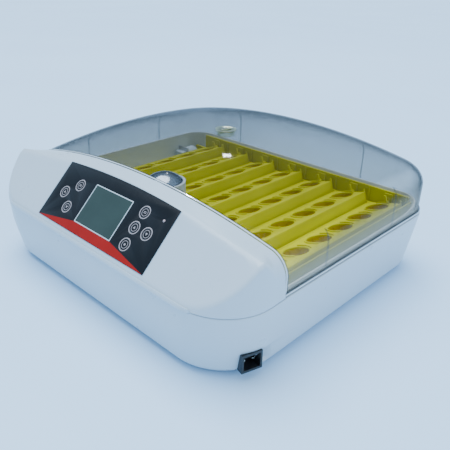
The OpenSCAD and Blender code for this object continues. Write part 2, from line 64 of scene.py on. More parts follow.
# chamber: how much lower the liner's upstand is at the right, the rows, fan and vent
UPSTAND_DROP = 9.0
ROWS, ROW_PITCH, ROW_X0, HINGE_Z, REST_TILT = 7, 55.5, 180.5, 83.0, 15.0
CUPS, CUP_PITCH, CUP_Y0, CUP_R = 6, 44.7, 142.8, 15.0
CRANK = 12.0
FAN_X, FAN_Y = 10.0, -84.0
VENT_X, VENT_Y = -10.0, 44.0
# panel, measured on its slope from the middle of its top edge
KEYS = [(-62.5, -23), (-82.5, -38.5), (-63, -54), (60, -18), (58.5, -38), (79.5, -38.2),
        (59.5, -59)]
STATUS = (91.5, -17.3)
LCD_W, LCD_H, LCD_TOP = 72.0, 52.0, -12.6
LABEL_W, LABEL_H, LABEL_CROWN = 210.0, 77.5, 4.5


# ---------------------------------------------------------------- materials

def node(nt, kind, **values):
    """A shader node with its inputs set; an input's name has _ for a space."""
    n = nt.nodes.new(kind)
    for key, value in values.items():
        n.inputs[key.replace("_", " ")].default_value = value
    return n


def noise(nt, coords, scale, detail=3.0, rough=0.5):
    n = node(nt, "ShaderNodeTexNoise", Scale=scale, Detail=detail, Roughness=rough)
    nt.links.new(coords, n.inputs["Vector"])
    return n.outputs["Fac"]


def mapped(nt, fac, low, high, start=0.3, end=0.7):
    """A value that goes from low to high while fac goes from start to end."""
    m = nt.nodes.new("ShaderNodeMapRange")
    for key, value in (("From Min", start), ("From Max", end), ("To Min", low), ("To Max", high)):
        m.inputs[key].default_value = value
    nt.links.new(fac, m.inputs["Value"])
    return m.outputs["Result"]


def shade_of(color, k):
    return (min(1, color[0] * k), min(1, color[1] * k), min(1, color[2] * k), 1)


def material(name, color, rough, vary=0.04, cloud=9.0, grain=1500.0, bump=0.04, rough_vary=0.05,
             metallic=0.0, coat=0.0, ior=1.5, stretch=(1, 1, 1)):
    """A moulded or metal finish: soft clouding of the colour, fine grain, uneven gloss."""
    mat = bpy.data.materials.new(name)
    mat.use_nodes = True
    nt = mat.node_tree
    bsdf = nt.nodes["Principled BSDF"]
    coords = nt.nodes.new("ShaderNodeTexCoord").outputs["Object"]
    if stretch != (1, 1, 1):
        m = node(nt, "ShaderNodeMapping", Scale=stretch)
        nt.links.new(coords, m.inputs["Vector"])
        coords = m.outputs["Vector"]
    ramp = nt.nodes.new("ShaderNodeValToRGB")
    ramp.color_ramp.elements[0].position, ramp.color_ramp.elements[1].position = 0.3, 0.7
    ramp.color_ramp.elements[0].color = shade_of(color, 1 - vary)
    ramp.color_ramp.elements[1].color = shade_of(color, 1 + vary)
    nt.links.new(noise(nt, coords, cloud, 4.0), ramp.inputs["Fac"])
    nt.links.new(ramp.outputs["Color"], bsdf.inputs["Base Color"])
    smear = noise(nt, coords, cloud * 6, 5.0, 0.6)
    nt.links.new(mapped(nt, smear, max(0.01, rough - rough_vary), rough + rough_vary),
                 bsdf.inputs["Roughness"])
    b = node(nt, "ShaderNodeBump", Strength=bump, Distance=0.0004)
    nt.links.new(noise(nt, coords, grain, 2.0), b.inputs["Height"])
    nt.links.new(b.outputs["Normal"], bsdf.inputs["Normal"])
    bsdf.inputs["Metallic"].default_value = metallic
    bsdf.inputs["Coat Weight"].default_value = coat
    bsdf.inputs["IOR"].default_value = ior
    return mat


def clear_material(name, facing, grazing, rough=0.03, low=0.002, high=0.30,
                   gloss=(0.50, 0.52, 0.55), haze=0.0):
    """Thin clear plastic: tinted see-through, darker where it is seen edge on, with a gloss.

    low and high are the share of gloss seen face on and edge on. haze is how milky the
    plastic is at the foot of the walls; it fades out upwards.
    """
    mat = bpy.data.materials.new(name)
    mat.use_nodes = True
    nt = mat.node_tree
    out = nt.nodes["Material Output"]
    nt.nodes.remove(nt.nodes["Principled BSDF"])
    coords = nt.nodes.new("ShaderNodeTexCoord").outputs["Object"]
    weight = node(nt, "ShaderNodeLayerWeight", Blend=0.5)
    ramp = nt.nodes.new("ShaderNodeValToRGB")
    ramp.color_ramp.elements[0].position, ramp.color_ramp.elements[1].position = 0.25, 0.95
    ramp.color_ramp.elements[0].color = (*facing, 1)
    ramp.color_ramp.elements[1].color = (*grazing, 1)
    nt.links.new(weight.outputs["Facing"], ramp.inputs["Fac"])
    clear = nt.nodes.new("ShaderNodeBsdfTransparent")
    nt.links.new(ramp.outputs["Color"], clear.inputs["Color"])
    shine = node(nt, "ShaderNodeBsdfGlossy", Color=(*gloss, 1))
    nt.links.new(mapped(nt, noise(nt, coords, 45, 4.0), rough * 0.6, rough * 1.8),
                 shine.inputs["Roughness"])
    b = node(nt, "ShaderNodeBump", Strength=0.05, Distance=0.0008)
    nt.links.new(noise(nt, coords, 22, 2.0), b.inputs["Height"])
    nt.links.new(b.outputs["Normal"], shine.inputs["Normal"])
    power = nt.nodes.new("ShaderNodeMath")
    power.operation = "POWER"
    power.inputs[1].default_value = 5.0
    nt.links.new(weight.outputs["Facing"], power.inputs[0])
    mix = nt.nodes.new("ShaderNodeMixShader")
    nt.links.new(mapped(nt, power.outputs[0], low, high, 0.0, 1.0), mix.inputs["Fac"])
    body = clear.outputs["BSDF"]
    if haze:
        place = nt.nodes.new("ShaderNodeSeparateXYZ")
        nt.links.new(coords, place.inputs[0])
        milk = node(nt, "ShaderNodeBsdfDiffuse", Color=(0.95, 0.95, 0.88, 1))
        veil = nt.nodes.new("ShaderNodeMixShader")
        nt.links.new(mapped(nt, place.outputs["Z"], haze, 0.0, HAZE_LOW * MM, HAZE_HIGH * MM),
                     veil.inputs["Fac"])
        nt.links.new(body, veil.inputs[1])
        nt.links.new(milk.outputs["BSDF"], veil.inputs[2])
        body = veil.outputs["Shader"]
    nt.links.new(body, mix.inputs[1])
    nt.links.new(shine.outputs["BSDF"], mix.inputs[2])
    nt.links.new(mix.outputs["Shader"], out.inputs["Surface"])
    return mat


SLOTS = {}


def finish(name, *values, **named):
    SLOTS[name] = material(name, *values, **named)


finish("shell_white", (0.51, 0.60, 0.67), 0.32, 0.02, 6, 1800, 0.05, 0.06, coat=0.15)
finish("liner_white", (0.84, 0.86, 0.78), 0.40, 0.03, 8, 1500, 0.05)
finish("rubber_foot", (0.03, 0.03, 0.032), 0.75, 0.15, 40, 1200, 0.25)
finish("steel_screw", (0.62, 0.63, 0.65), 0.32, 0.06, 60, 2500, 0.1, metallic=1.0)
finish("label_black", (0.006, 0.007, 0.009), 0.34, 0.2, 30, 2500, 0.03, 0.05, ior=1.28)
finish("stripe_red", (0.32, 0.014, 0.012), 0.36, 0.06, 40, 2500, 0.03, ior=1.15)
finish("bezel_light", (0.55, 0.60, 0.62), 0.35, 0.05, 60, 2000, 0.03)
finish("lcd_glass", (0.036, 0.056, 0.050), 0.22, 0.08, 30, 3000, 0.01, 0.04, ior=1.2)
finish("lcd_body", (0.04, 0.045, 0.045), 0.5, 0.1, 60, 2000, 0.1)
finish("lens_pink", (0.62, 0.45, 0.45), 0.25, 0.08, 200, 3000, 0.02, coat=0.5)
finish("key_film", (0.008, 0.009, 0.011), 0.34, 0.2, 60, 2500, 0.03, ior=1.28)
finish("pcb_green", (0.02, 0.15, 0.06), 0.35, 0.25, 160, 2500, 0.15, coat=0.3)
finish("part_black", (0.025, 0.025, 0.027), 0.5, 0.2, 80, 2000, 0.2)
finish("copper_wound", (0.55, 0.30, 0.09), 0.35, 0.2, 60, 900, 0.3, metallic=0.9, stretch=(1, 1, 8))
finish("relay_blue", (0.04, 0.11, 0.42), 0.35, 0.08, 60, 2000, 0.08)
finish("socket_black", (0.012, 0.012, 0.014), 0.38, 0.2, 60, 1600, 0.12)
finish("pin_metal", (0.72, 0.70, 0.62), 0.25, 0.08, 90, 2500, 0.06, metallic=1.0)
finish("fan_white", (0.66, 0.72, 0.76), 0.5, 0.03, 20, 1500, 0.08)
finish("motor_metal", (0.58, 0.60, 0.62), 0.35, 0.06, 40, 2500, 0.12, metallic=1.0,
       stretch=(1, 1, 12))
finish("fan_dark", (0.045, 0.045, 0.05), 0.5, 0.15, 60, 1500, 0.12)
finish("cap_polished", (0.42, 0.47, 0.53), 0.16, 0.04, 30, 2500, 0.02, 0.05, metallic=1.0)
finish("heater_wire", (0.33, 0.29, 0.26), 0.4, 0.2, 120, 2500, 0.2, metallic=0.9)
finish("ceramic_post", (0.74, 0.70, 0.62), 0.7, 0.06, 90, 2000, 0.2)
finish("probe_steel", (0.62, 0.63, 0.64), 0.28, 0.05, 60, 2500, 0.08, metallic=1.0)
finish("tray_yellow", (0.56, 0.51, 0.0), 0.40, 0.08, 14, 1400, 0.06, ior=1.22)
finish("row_yellow", (0.60, 0.55, 0.0), 0.36, 0.08, 18, 1400, 0.06, ior=1.22)
finish("arm_white", (0.68, 0.70, 0.68), 0.45, 0.05, 40, 1500, 0.1)
finish("motor_can", (0.58, 0.66, 0.71), 0.42, 0.04, 30, 1500, 0.08)
finish("bracket_steel", (0.58, 0.60, 0.62), 0.38, 0.06, 30, 2500, 0.12, metallic=1.0)
finish("trough_white", (0.62, 0.70, 0.78), 0.4, 0.04, 20, 1500, 0.08)
finish("wire_red", (0.40, 0.03, 0.03), 0.5, 0.1, 90, 1500, 0.15)
SLOTS["clear_plastic"] = clear_material("clear_plastic", (0.95, 0.945, 0.94), (0.36, 0.36, 0.36),
                                        haze=0.20)
SLOTS["vent_plastic"] = clear_material("vent_plastic", (0.95, 0.96, 0.86), (0.55, 0.57, 0.38),
                                       0.10, 0.12, 0.8, (1.0, 1.0, 0.92))

# finishes of single pieces that share a slot with their neighbours
EDGE = clear_material("clear_edge", (0.80, 0.82, 0.83), (0.20, 0.21, 0.22), 0.07, 0.08, 0.6,
                      (0.95, 0.97, 1.0))
# a pale opaque strip laid on the clear rim and lip: a painted highlight of the clear edge
RIM_HIGHLIGHT = material("clear_bead", (0.62, 0.68, 0.72), 0.15, 0.04, 60, 2500, 0.02, coat=0.6)
# the rows' yellow darkened for the cups: painted shade in their hollows
SHADED_CUP = material("cup_painted_shade", (0.50, 0.36, 0.0), 0.42, 0.08, 18, 1400, 0.06, ior=1.22)
RING = material("print_pale", (0.36, 0.30, 0.30), 0.35, 0.06, 60, 2500, 0.02)


# ---------------------------------------------------------------- mesh helpers

def finish_mesh(me, name, mat, body, replaced, sharp):
    for p in me.polygons:
        p.use_smooth = True
    me.set_sharp_from_angle(angle=math.radians(sharp))
    me.materials.clear()
    me.materials.append(mat)
    obj = bpy.data.objects.new(name, me)
    bpy.context.scene.collection.objects.link(obj)
    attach(obj, body)
    if replaced:
        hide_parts(*replaced)
    return obj


def piece(name, verts, faces, slot, body="housing", replaced=(), sharp=35, mat=None):
    me = bpy.data.meshes.new(name)
    me.from_pydata([(x * MM, y * MM, z * MM) for x, y, z in verts], [], faces)
    me.validate()
    turn_outward(me)
    return finish_mesh(me, name, mat or SLOTS[slot], body, replaced, sharp)


def turn_outward(me):
    """Faces of an open or closed form look away from its middle."""
    bm = bmesh.new()
    bm.from_mesh(me)
    bmesh.ops.recalc_face_normals(bm, faces=bm.faces)
    bm.to_mesh(me)
    bm.free()
    lo = [min(v.co[i] for v in me.vertices) for i in range(3)]
    hi = [max(v.co[i] for v in me.vertices) for i in range(3)]
    mid = Vector([(a + b) / 2 for a, b in zip(lo, hi)])
    if sum(p.area * p.normal.dot(p.center - mid) for p in me.polygons) < 0:
        me.flip_normals()


def bevel(obj, width, segments=2, angle=40):
    m = obj.modifiers.new("soft_edges", "BEVEL")
    m.width, m.segments = width * MM, segments
    m.limit_method, m.angle_limit = "ANGLE", math.radians(angle)
    m.harden_normals = False
    return obj


def solidify(obj, thickness):
    m = obj.modifiers.new("wall", "SOLIDIFY")
    m.thickness, m.offset = thickness * MM, -1.0
    m.use_quality_normals = True
    return obj


class Build:
    """Collects simple forms into one mesh."""

    def __init__(self):
        self.verts, self.faces = [], []

    def add(self, verts, faces):
        o = len(self.verts)
        self.verts += verts
        self.faces += [tuple(i + o for i in f) for f in faces]

    def box(self, x0, x1, y0, y1, z0, z1):
        v = [(x, y, z) for z in (z0, z1) for y in (y0, y1) for x in (x0, x1)]
        self.add(v, [(0, 2, 3, 1), (4, 5, 7, 6), (0, 1, 5, 4), (2, 6, 7, 3), (0, 4, 6, 2),
                     (1, 3, 7, 5)])

    def loft(self, rings, closed=True, cap0=False, cap1=False):
        n = len(rings[0])
        verts = [p for ring in rings for p in ring]
        faces = []
        for i in range(len(rings) - 1):
            for j in range(n if closed else n - 1):
                k = (j + 1) % n
                faces.append((i * n + j, i * n + k, (i + 1) * n + k, (i + 1) * n + j))
        if cap0:
            faces.append(tuple(range(n - 1, -1, -1)))
        if cap1:
            faces.append(tuple((len(rings) - 1) * n + j for j in range(n)))
        self.add(verts, faces)

    def lathe(self, profile, x=0.0, y=0.0, z=0.0, n=48, axis="z", cap0=False, cap1=False):
        rings = []
        for r, h in profile:
            ring = []
            for k in range(n):
                a = 2 * math.pi * k / n
                c, s = r * math.cos(a), r * math.sin(a)
                ring.append((x + c, y + s, z + h) if axis == "z" else (x + s, y + h, z + c))
            rings.append(ring)
        self.loft(rings, True, cap0, cap1)


def outline(x0, x1, y0, y1, rf, rr, n=48, side=16):
    """A rounded rectangle's points, with a fixed count: front corners rf, rear ones rr."""
    corners = [(x1 - rf, y0 + rf, rf, -90), (x1 - rr, y1 - rr, rr, 0),
               (x0 + rr, y1 - rr, rr, 90), (x0 + rf, y0 + rf, rf, 180)]
    pts = []
    for i, (cx, cy, r, a0) in enumerate(corners):
        for k in range(n + 1):
            a = math.radians(a0 + 90 * k / n)
            pts.append((cx + r * math.cos(a), cy + r * math.sin(a)))
        nx, ny, nr, na = corners[(i + 1) % 4]
        a = math.radians(na)
        qx, qy = nx + nr * math.cos(a), ny + nr * math.sin(a)
        px, py = pts[-1]
        for k in range(1, side):
            f = k / side
            pts.append((px + (qx - px) * f, py + (qy - py) * f))
    return pts


def plan_ring(inset, soft, z, front=0.0):
    """The housing's outline at one height; front moves the front wall out."""
    f = FRONT_Y - front
    pts = outline(-HALF_W + inset, HALF_W - inset, f + inset, REAR_Y - inset,
                  FRONT_R + soft - inset, REAR_R + soft - inset)
    return [(x, y, z(y) if callable(z) else z) for x, y in pts]


def smooth_min(a, b, k):
    """The smaller of two heights, blended where they are within k of each other."""
    h = max(k - abs(a - b), 0.0) / k
    return min(a, b) - h * h * k / 4


def step(a, b, x):
    """A smooth rise from 0 at a to 1 at b."""
    t = min(1.0, max(0.0, (x - a) / (b - a)))
    return t * t * (3 - 2 * t)


def fillet_drop(d, r):
    """How far a rounded edge of radius r is below its flat, at distance d from the wall."""
    return 0.0 if d >= r else r - math.sqrt(max(0.0, r * r - (r - d) * (r - d)))


def crowned(top, y_cut, y_far, half, corner, reach, radius_at, wall, cuts, cols=100):
    """A domed or sloping top open along y_cut, rounded over into walls on three sides.

    top(x, y) is the surface, radius_at(nx, y) the rounding, wall(nx, y, z) the rows below it
    as (height, how far further out). cuts are the first rows' distances from y_cut.
    """
    s = 1 if y_far > y_cut else -1
    ci = corner - reach
    y_c, hi = y_far - s * corner, half - reach
    straight, arc, bands = 30, 16, 14
    rows = [(y_cut + s * c, hi, 0.0) for c in cuts]
    start = y_cut + s * cuts[-1]
    rows += [(start + (y_c - start) * k / straight, hi, 0.0) for k in range(1, straight + 1)]
    for k in range(1, arc + 1):
        a = math.pi / 2 * k / arc
        rows.append((y_c + s * ci * math.sin(a), hi - ci + ci * math.cos(a), a))
    verts, faces, grid = [], [], []
    for y, w, _ in rows:
        line = []
        for j in range(cols + 1):
            x = w * (2 * j / cols - 1)
            line.append(len(verts))
            verts.append((x, y, top(x, y)))
        grid.append(line)
    for i in range(len(grid) - 1):
        for j in range(cols):
            f = (grid[i][j], grid[i][j + 1], grid[i + 1][j + 1], grid[i + 1][j])
            faces.append(f if s > 0 else f[::-1])
    loop = [(grid[i][0], -math.cos(a), s * math.sin(a)) for i, (_, _, a) in enumerate(rows)]
    loop += [(grid[-1][j], 0.0, s) for j in range(1, cols)]
    loop += [(grid[i][cols], math.cos(rows[i][2]), s * math.sin(rows[i][2]))
             for i in range(len(rows) - 1, -1, -1)]
    last = [i for i, _, _ in loop]
    for k in range(1, bands + 1):
        out = reach * math.sin(math.pi / 2 * k / bands)
        ring = []
        for i, nx, ny in loop:
            x, y = verts[i][0] + nx * out, verts[i][1] + ny * out
            ring.append(len(verts))
            verts.append((x, y, top(x, y) - fillet_drop(reach - out, radius_at(nx, y))))
        join(faces, last, ring, s)
        last = ring
    edge = list(last)
    for k in range(len(wall(0, 0, HINGE_Z))):
        ring = []
        for (i, nx, ny), e in zip(loop, edge):
            x, y, z = verts[e]
            low, out = wall(nx, y, z)[k]
            ring.append(len(verts))
            verts.append((x + nx * out, y + ny * out, low))
        join(faces, last, ring, s)
        last = ring
    return verts, faces


def join(faces, inner, outer, s):
    """Faces between two neighbouring rows of points."""
    for j in range(len(inner) - 1):
        f = (inner[j], outer[j], outer[j + 1], inner[j + 1])
        faces.append(f[::-1] if s < 0 else f)


def plate(loops, thick, place, edge=0.0):
    """A flat sheet with holes, from its outlines, with softened edges, as a mesh."""
    cu = bpy.data.curves.new("outline", "CURVE")
    cu.dimensions, cu.fill_mode = "2D", "BOTH"
    cu.extrude, cu.bevel_depth = (thick / 2 - edge) * MM, edge * MM
    cu.bevel_resolution, cu.offset = 1, -edge * MM
    for loop in loops:
        sp = cu.splines.new("POLY")
        sp.points.add(len(loop) - 1)
        for p, (x, y) in zip(sp.points, loop):
            p.co = (x * MM, y * MM, 0, 1)
        sp.use_cyclic_u = True
    tmp = bpy.data.objects.new("outline", cu)
    bpy.context.scene.collection.objects.link(tmp)
    dg = bpy.context.evaluated_depsgraph_get()
    me = bpy.data.meshes.new_from_object(tmp.evaluated_get(dg))
    bpy.data.objects.remove(tmp)
    bpy.data.curves.remove(cu)
    me.transform(Matrix.Translation((0, 0, thick / 2 * MM)))
    me.transform(place)
    bm = bmesh.new()
    bm.from_mesh(me)
    bmesh.ops.remove_doubles(bm, verts=bm.verts, dist=1e-6)
    bmesh.ops.recalc_face_normals(bm, faces=bm.faces)
    bm.to_mesh(me)
    bm.free()
    return me


def circle(x, y, r, n=48, a0=0.0, a1=360.0):
    """n points of a circle, or of the arc from a0 to a1."""
    gaps = n if a1 - a0 >= 360 else n - 1
    angles = [math.radians(a0 + (a1 - a0) * k / gaps) for k in range(n)]
    return [(x + r * math.cos(a), y + r * math.sin(a)) for a in angles]


def band(x, y, r0, r1, a0, a1, n=16):
    """A curved strip between two radii."""
    return circle(x, y, r1, n, a0, a1) + circle(x, y, r0, n, a1, a0)


def rect(x0, x1, y0, y1, r=0.0, n=5):
    if not r:
        return [(x0, y0), (x1, y0), (x1, y1), (x0, y1)]
    return outline(x0, x1, y0, y1, r, r, n, 1)


def shift(x=0.0, y=0.0, z=0.0):
    return Matrix.Translation((x * MM, y * MM, z * MM))


PANEL = shift(0, PANEL_Y, PANEL_Z) @ Matrix.Rotation(math.radians(45), 4, "X")


def panel_plate(name, loops, low, thick, slot, body="housing", replaced=(), edge=0.0, mat=None):
    """A flat sheet on the panel's slope, its underside low above it."""
    me = plate(loops, thick, PANEL @ shift(0, 0, low), edge)
    me.name = name
    return finish_mesh(me, name, mat or SLOTS[slot], body, replaced, 35)


# ---------------------------------------------------------------- housing

def seam_z(y):
    """The line between base and head dips a little under the panel."""
    return SEAM - 2.2 * step(-118, -165, y)


def from_inlet(x, y):
    """How far a point is out of the wall and along it, seen from behind the mains inlet."""
    c, s = math.cos(math.radians(INLET_TURN)), math.sin(math.radians(INLET_TURN))
    dx, dy = x - INLET_X, y - INLET_Y
    return dx * c + dy * s, dy * c - dx * s


def at_inlet(p):
    """True for a point of the wall that the mains inlet's opening takes away."""
    out, along = from_inlet(p[0], p[1])
    return out > BEHIND_WALL and abs(along) < 11.8 and abs(p[2] - INLET_Z) < 10.8


def scooped(p):
    """The wall's points, pushed in beside the mains inlet for a thumb."""
    x, y, z = p
    out, along = from_inlet(x, y)
    if out < BEHIND_WALL:
        return p
    d = SCOOP * step(8, 12, along) * (1 - step(17, 33, along)) * step(8, 12, z) \
        * (1 - step(28, 32, z))
    turn = math.radians(INLET_TURN)
    return (x - math.cos(turn) * d, y - math.sin(turn) * d, z)


def base_shell():
    """The white tub: a rounded heel, walls that lean out and bulge, a small lip at the seam."""
    b = Build()
    heel_z, foot_z, lean, heel_soft, bulge = 16.0, 4.0, 6.5, 12, 1.5
    heel, wall = 8, 36
    rings = [plan_ring(lean + 26, heel_soft + 2, foot_z)]
    for k in range(heel + 1):
        a = math.pi / 2 * k / heel
        rings.append(plan_ring(lean + 11 * (1 - math.sin(a)), heel_soft,
                               heel_z - (heel_z - foot_z) * math.cos(a), bulge))
    for k in range(1, wall + 1):
        f = k / wall
        z = heel_z + (SEAM - 1.6 - heel_z) * f
        out = bulge + math.sin(math.pi * f) - bulge * step(0.5, 1.0, f)
        rings.append(plan_ring(lean * (1 - f) ** 1.15, heel_soft * (1 - f),
                               lambda y, z=z, f=f: z - f * (SEAM - seam_z(y)), out))
    rings.append(plan_ring(0.25, 0, lambda y: seam_z(y) - 0.7))
    rings.append(plan_ring(0.9, 0, lambda y: seam_z(y) - 0.35))
    rings.append(plan_ring(4.5, 0, lambda y: seam_z(y) - 0.35))
    b.loft([[scooped(p) for p in ring] for ring in rings])
    b.faces = [f for f in b.faces if not all(at_inlet(b.verts[i]) for i in f)]
    solidify(piece("base_shell_skin", b.verts, b.faces, "shell_white",
                   replaced=("base_shell",), sharp=50), WALL)


def crease_t(x):
    """How far down the panel's slope its upper crease lies: crowned, straight at the ends."""
    a, bend = abs(x), 106
    return -5.0 + 4.9 * (a / bend) ** 2 if a < bend else -0.1 + 0.104 * (a - bend)


def ridge_at(x):
    """Height of the ridge, which is arched from side to side."""
    return RIDGE_Z - x * x / ARCH


def head_top(x, y):
    """Height of the head's outside: the panel's slope, blended into the strip above it."""
    t = crease_t(x) * math.sqrt(0.5)
    cy, cz = PANEL_Y - t, PANEL_Z - t
    facet = PANEL_Z + (y - PANEL_Y) - 0.25
    f = (y - cy) / (RIDGE_Y - cy)
    strip = cz + f * (ridge_at(x) - cz)
    return smooth_min(facet, strip, 2.2)


def head_shell():
    """The control head: sloping panel, shallow strip up to the ridge, rounded ends."""
    def radius_at(nx, y):
        return 3.5 + 16.5 * step(-152, -128, y) * abs(nx)

    def wall(nx, y, z):
        low = seam_z(y) + 0.35
        rows = []
        for f in (0.3, 0.6, 0.85):
            rows.append((z + (low + 0.6 - z) * f, 1.5 * abs(nx) * f))
        return rows + [(low + 0.6, 1.5 * abs(nx)), (low + 0.15, 1.3 * abs(nx) - 0.1),
                       (low, 0.8 * abs(nx) - 0.5)]

    v, f = crowned(head_top, RIDGE_Y, FRONT_Y, HEAD_HALF, HEAD_CORNER, HEAD_REACH, radius_at,
                   wall, [0, 0.5, 1.2, 3])
    solidify(piece("head_shell_skin", v, f, "shell_white", replaced=("head_shell",), sharp=60),
             WALL)


def liner():
    """The chamber's white tub: a rounded upstand, then a wall that leans in to the floor."""
    half, front, rear, corner = 222.0, -112.6, 194.2, 36.0
    section = [(0.0, 81.6), (0.0, 94.6), (0.35, 95.3), (0.9, 95.5), (1.9, 95.5), (2.4, 95.2),
               (2.6, 94.6), (3.2, 80), (5.2, 50), (6.2, 38), (7.4, 34.6), (10.2, 32.9), (14, 32.5)]
    rings = []
    for d, z in section:
        drop = UPSTAND_DROP * step(90, 94, z)
        pts = outline(-half + d, half - d, front + d, rear - d, 8 - min(d, 4) * 0.5, corner - d)
        rings.append([(x, y, z - drop * step(196, 216, x) * (1 - step(140, 175, y)))
                      for x, y in pts])
    b = Build()
    b.loft(rings, True, False, True)
    piece("chamber_liner", b.verts, b.faces, "liner_white", replaced=("chamber_tub",), sharp=45)


def dome_at(x, y):
    """Height of the cover's outside, part of one large ball."""
    return DOME_Z - DOME_R + math.sqrt(DOME_R ** 2 - x * x - (y - DOME_Y) ** 2)


def clear_cover():
    """The domed cover: skin, ribs inside its walls, thick rim and lip."""
    def top(x, y):
        return dome_at(x, y) - UNDER_DOME

    def wall(nx, y, z):
        return [(z + (COVER_LOW - z) * k / 5, 0.0) for k in range(1, 6)]

    v, f = crowned(top, RIDGE_Y + 0.5, COVER_REAR, COVER_HALF, COVER_CORNER, COVER_REACH,
                   lambda nx, y: COVER_ROUND, wall, [0, 1, 3, 6])
    solidify(piece("cover_skin", v, f, "clear_plastic", "cover", ("clear_cover",), sharp=60),
             COVER_WALL)
    b = Build()
    inside = COVER_WALL + 0.1
    for s in (-1, 1):
        for y in SIDE_RIBS:
            rib(b, s, COVER_HALF - inside, dome_at(COVER_HALF - 2, y), y, False)
        rib(b, 1, COVER_REAR - inside, dome_at(REAR_RIB, COVER_REAR), s * REAR_RIB, True)
    bevel(piece("cover_ribs", b.verts, b.faces, "clear_plastic", "cover", mat=EDGE), 0.3, 2)
    rim()
    lip()


def rib(b, side, face, crown, at, on_rear):
    """A thin stiffening rib inside a wall, at the place at, that follows its rounding up."""
    rings = []
    for back, z in ((0.0, 86.0), (0.0, crown - 20.5), (1.6, crown - 13.0), (5.8, crown - 7.0)):
        ring = []
        for depth, half in ((0.0, -0.8), (0.0, 0.8), (1.9, 0.5), (1.9, -0.5)):
            d = side * (face - back - depth)
            ring.append((at + half, d, z) if on_rear else (d, at + half, z))
        rings.append(ring)
    b.loft(rings, True, True, True)


# a bar with rounded edges, 2 by 2, that rim and lip stretch to their own size
SECTION = [(0.0, 0.5), (0.15, 0.15), (0.5, 0.0), (1.0, 0.0), (1.5, 0.0), (1.85, 0.15),
           (2.0, 0.5), (2.0, 1.0), (2.0, 1.5), (1.85, 1.85), (1.5, 2.0), (1.0, 2.0),
           (0.5, 2.0), (0.15, 1.85), (0.0, 1.5), (0.0, 1.0)]


def with_normals(path):
    """The points of a flat path, each with its unit normal to the left."""
    out = []
    for i, (x, y) in enumerate(path):
        ax, ay = path[max(0, i - 1)]
        bx, by = path[min(len(path) - 1, i + 1)]
        length = math.hypot(bx - ax, by - ay)
        out.append((x, y, -(by - ay) / length, (bx - ax) / length))
    return out


def bar_and_highlight_strip(name, bars, highlight_rings):
    """A clear bar swept along the cover's edge, with a pale opaque strip on it: a painted
    highlight.
    """
    for part, rings, mat in ((name + "_bead", highlight_rings, RIM_HIGHLIGHT), (name, bars, EDGE)):
        b = Build()
        b.loft(rings, True, True, True)
        piece(part, b.verts, b.faces, "clear_plastic", "cover", mat=mat)


def rim():
    """The thick edge of the cover along the ridge, from seam to seam."""
    shoulder = dome_at(COVER_HALF, RIDGE_Y) - COVER_ROUND - UNDER_DOME
    arc = 14
    path = [(-COVER_HALF, RIM_LOW + (shoulder - RIM_LOW) * k / 10) for k in range(10)]
    for k in range(arc + 1):
        d = COVER_ROUND * (1 - math.cos(math.pi / 2 * k / arc))
        x = d - COVER_HALF
        path.append((x, dome_at(x, RIDGE_Y) - UNDER_DOME - fillet_drop(d, COVER_ROUND)))
    flat = COVER_HALF - COVER_ROUND
    path += [(x, dome_at(x, RIDGE_Y) - UNDER_DOME) for x in
             [flat * (k / 52 - 1) for k in range(1, 53)]]
    path += [(-x, z) for x, z in reversed(path)]
    bars, highlight_rings = [], []
    for x, z, nx, nz in with_normals(path):
        bars.append([(x + nx * (0.75 - 1.3 * v), RIDGE_Y + 0.4 + 2.8 * u,
                      z + nz * (0.75 - 1.3 * v)) for u, v in SECTION])
        # rings of the pale strip that carries the painted highlight
        highlight_rings.append([(x + nx * out, RIDGE_Y + y, z + nz * out) for y, out in
                      ((1.5, 0.6), (1.8, 0.95), (3.4, 0.95), (3.7, 0.6))])
    bar_and_highlight_strip("cover_rim", bars, highlight_rings)


def lip():
    """The rounded lip round the foot of the cover's walls."""
    loop = outline(-COVER_HALF, COVER_HALF, RIDGE_Y + 0.5, COVER_REAR, 0.01, COVER_CORNER, 32, 24)
    start = min(range(len(loop)), key=lambda i: (loop[i][1] > RIDGE_Y + 1, -loop[i][0]))
    path = []
    for x, y in loop[start:] + loop[:start]:
        if y <= RIDGE_Y + 0.8 and abs(x) <= COVER_HALF - 0.5:
            continue
        if not path or math.hypot(x - path[-1][0], y - path[-1][1]) > 0.3:
            path.append((x, y))
    bars, highlight_rings = [], []
    for x, y, nx, ny in with_normals(path):
        bars.append([(x + nx * (1.9 - 2.0 * u), y + ny * (1.9 - 2.0 * u), COVER_FOOT + 2.2 * v)
                     for u, v in SECTION])
        # rings of the pale strip that carries the painted highlight
        highlight_rings.append([(x - nx * out, y - ny * out, COVER_FOOT + z) for z, out in
                      ((1.1, 1.9), (1.4, 2.3), (2.9, 2.3), (3.2, 1.9))])
    bar_and_highlight_strip("cover_lip", bars, highlight_rings)


